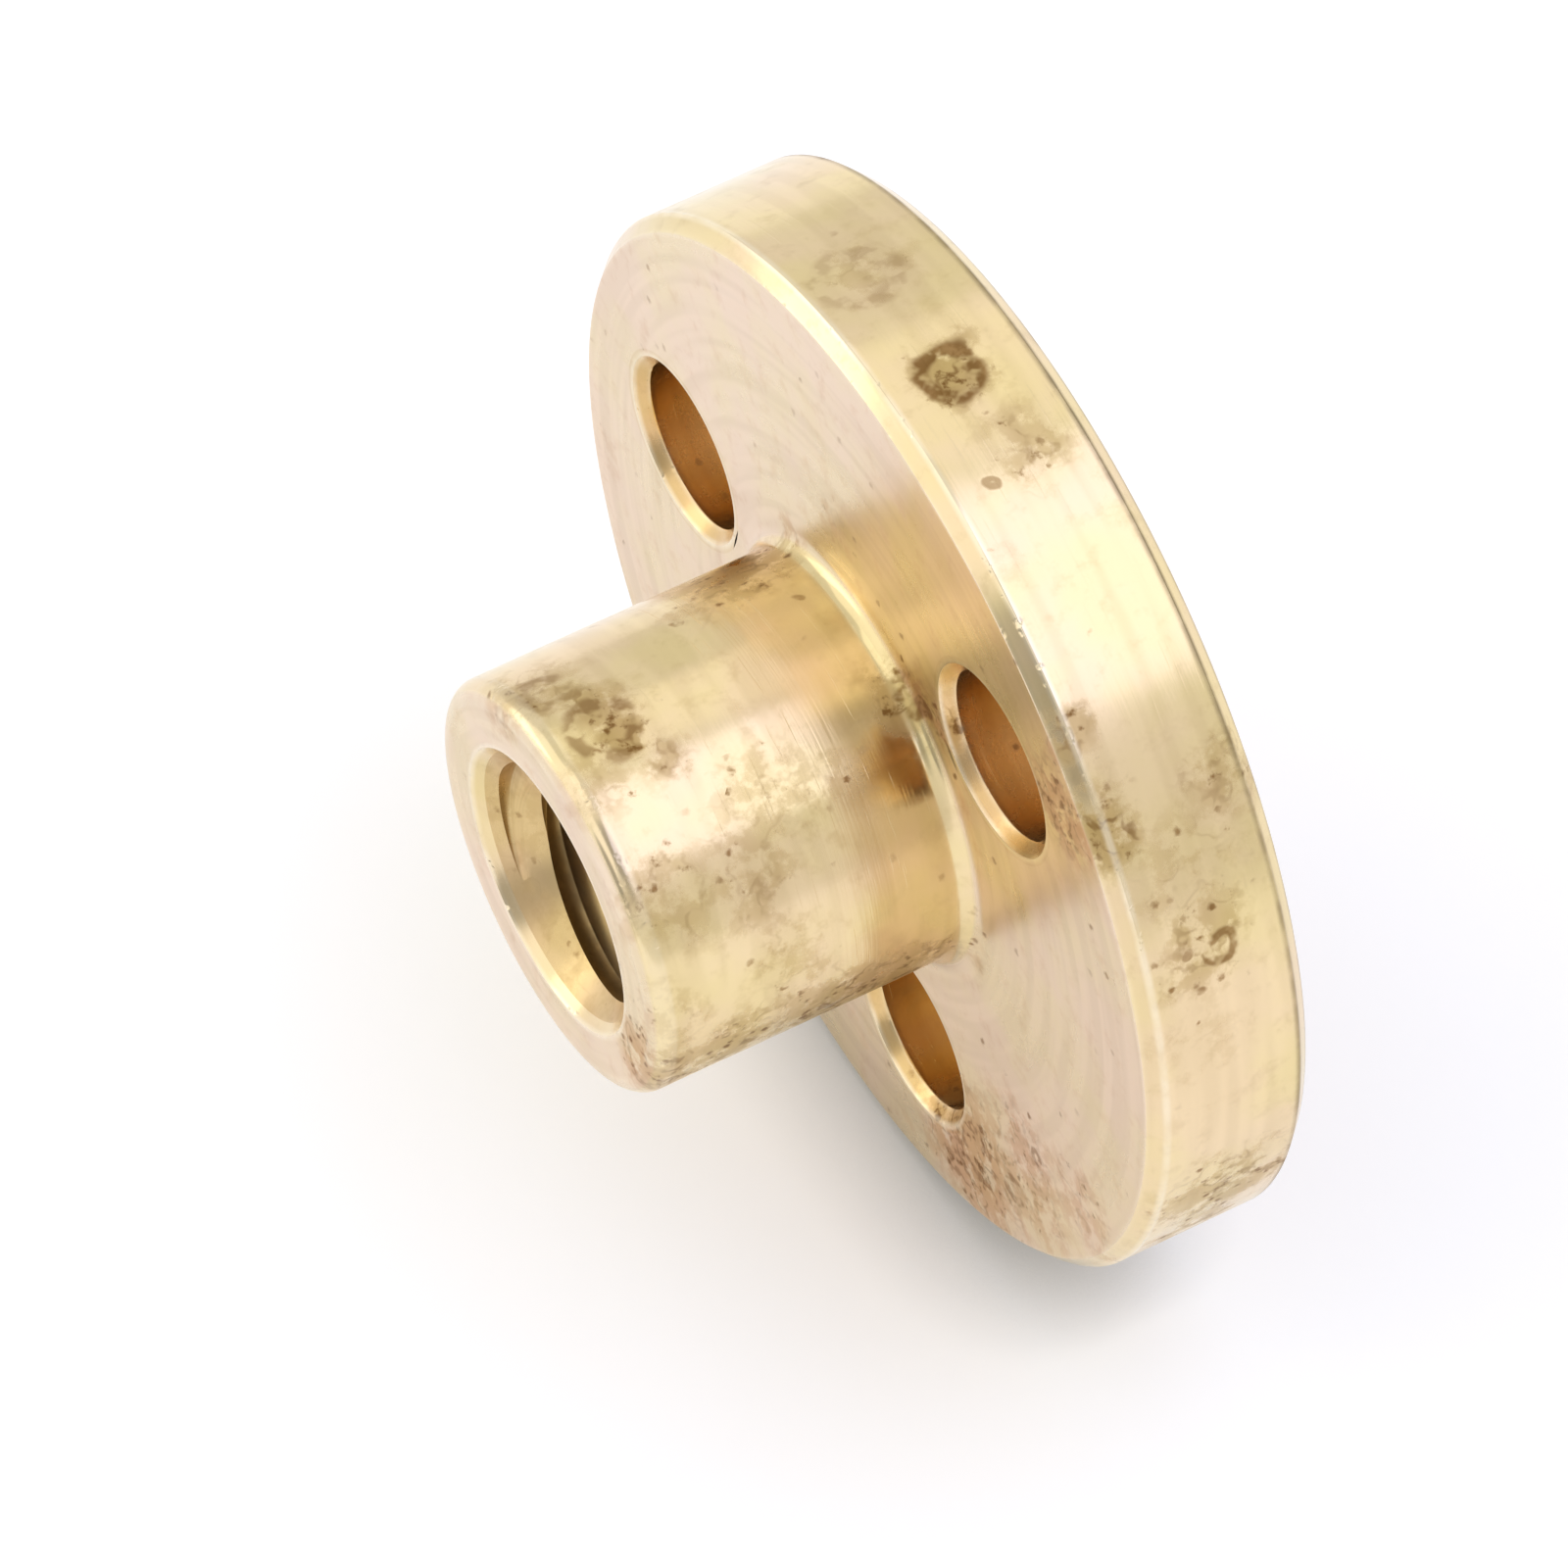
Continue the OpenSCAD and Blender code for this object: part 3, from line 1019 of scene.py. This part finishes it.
def soft_lamp(name, towards, size, radiance, colour=(1, 1, 1)):
    """A rectangular lamp that faces the nut from a direction, as bright as stated."""
    lamp = bpy.data.lights.new(name, "AREA")
    lamp.color = colour
    lamp.shape = "RECTANGLE"
    lamp.size, lamp.size_y = size
    lamp.energy = radiance * math.pi * size[0] * size[1]
    holder = bpy.data.objects.new(name, lamp)
    direction = Vector(towards).normalized()
    holder.location = direction * LAMP_DISTANCE
    holder.rotation_euler = direction.to_track_quat("Z", "Y").to_euler()
    bpy.context.scene.collection.objects.link(holder)
    print(f"{name}: {lamp.energy:.2f} W")


soft_lamp(
    "overhead_softbox", towards=(0.30, -0.35, 0.885), size=(0.8, 0.44), radiance=0.65,
    colour=(0.90, 0.95, 1.50),
)
soft_lamp("upper_reflector", towards=(-0.34, 0.12, 0.93), size=(0.3, 0.3), radiance=0.5)
soft_lamp("back_reflector", towards=(0.30, 0.45, 0.84), size=(0.3, 0.3), radiance=0.25)
soft_lamp("left_window", towards=(-0.82, 0.26, 0.42), size=(1.0, 0.7), radiance=0.35)
soft_lamp("low_card", towards=(-0.64, 0.75, 0.17), size=(0.35, 0.25), radiance=0.7)

# %% [markdown]
# The world gives the rest, an even white with three darker places, like dark things
# in a bright room. They show as dark reflections: one on the right, one above and in
# front, and a small one low on the left that turns part of the front chamfer dull.
# In a shader, a direction's dot product with the shade's axis is the cosine of
# the angle between them, which a soft step turns into a round shade.

# %% World
SKY = 0.88
# (direction, cosine where the shade starts, cosine where it is full, share that is left)
SHADES = [
    ((0.95, 0.10, 0.30), 0.60, 0.95, 0.6),
    ((-0.30, -0.52, 0.80), 0.88, 0.98, 0.5),
    ((-0.954, -0.213, 0.212), 0.955, 0.985, 0.12),
]
world = bpy.data.worlds.new("studio")
bpy.context.scene.world = world
world.use_nodes = True
tree = world.node_tree
tree.nodes.clear()
direction = node(tree, "ShaderNodeTexCoord").outputs["Generated"]
strength = SKY
for shaded, starts, full, share_left in SHADES:
    axis = Vector(shaded).normalized()
    towards = node(tree, "ShaderNodeVectorMath", {0: direction, 1: axis}, operation="DOT_PRODUCT")
    share = fade(tree, towards.outputs["Value"], starts, full, 1, share_left)
    strength = calc(tree, "MULTIPLY", share, strength)
sky = node(tree, "ShaderNodeBackground", {"Color": WHITE, "Strength": strength}).outputs[0]
node(tree, "ShaderNodeOutputWorld", {"Surface": sky})
print("sky of strength", SKY, "with", len(SHADES), "darker places")

# %% [markdown]
# The camera looks down at the nut from the front, a little from the left, along a
# line through the middle of its length. It stands well back with a long lens, so that
# near and far parts look nearly equal in size. FIELD is the width, in metres, that the
# picture covers at the nut.

# %% Camera
AZIMUTH, ELEVATION = math.radians(-29.7), math.radians(53.1)
DISTANCE = 0.26
FIELD = 0.030
back = Vector((
    math.sin(AZIMUTH) * math.cos(ELEVATION),
    -math.cos(AZIMUTH) * math.cos(ELEVATION),
    math.sin(ELEVATION),
))
lens = bpy.data.cameras.new("camera")
lens.lens = lens.sensor_width * DISTANCE / FIELD
camera = bpy.data.objects.new("camera", lens)
aim = Vector(((nose_x + back_x) / 2, 0, 0))
camera.location = aim + back * DISTANCE
camera.rotation_euler = back.to_track_quat("Z", "Y").to_euler()
bpy.context.scene.collection.objects.link(camera)
bpy.context.scene.camera = camera
bpy.context.scene.view_settings.view_transform = "Standard"
print(f"camera with a {lens.lens:.0f} mm lens, {DISTANCE} m away")

# %% [markdown]
# Last, the scene is brought up to date.

# %% Bring the scene up to date
bpy.context.view_layer.update()
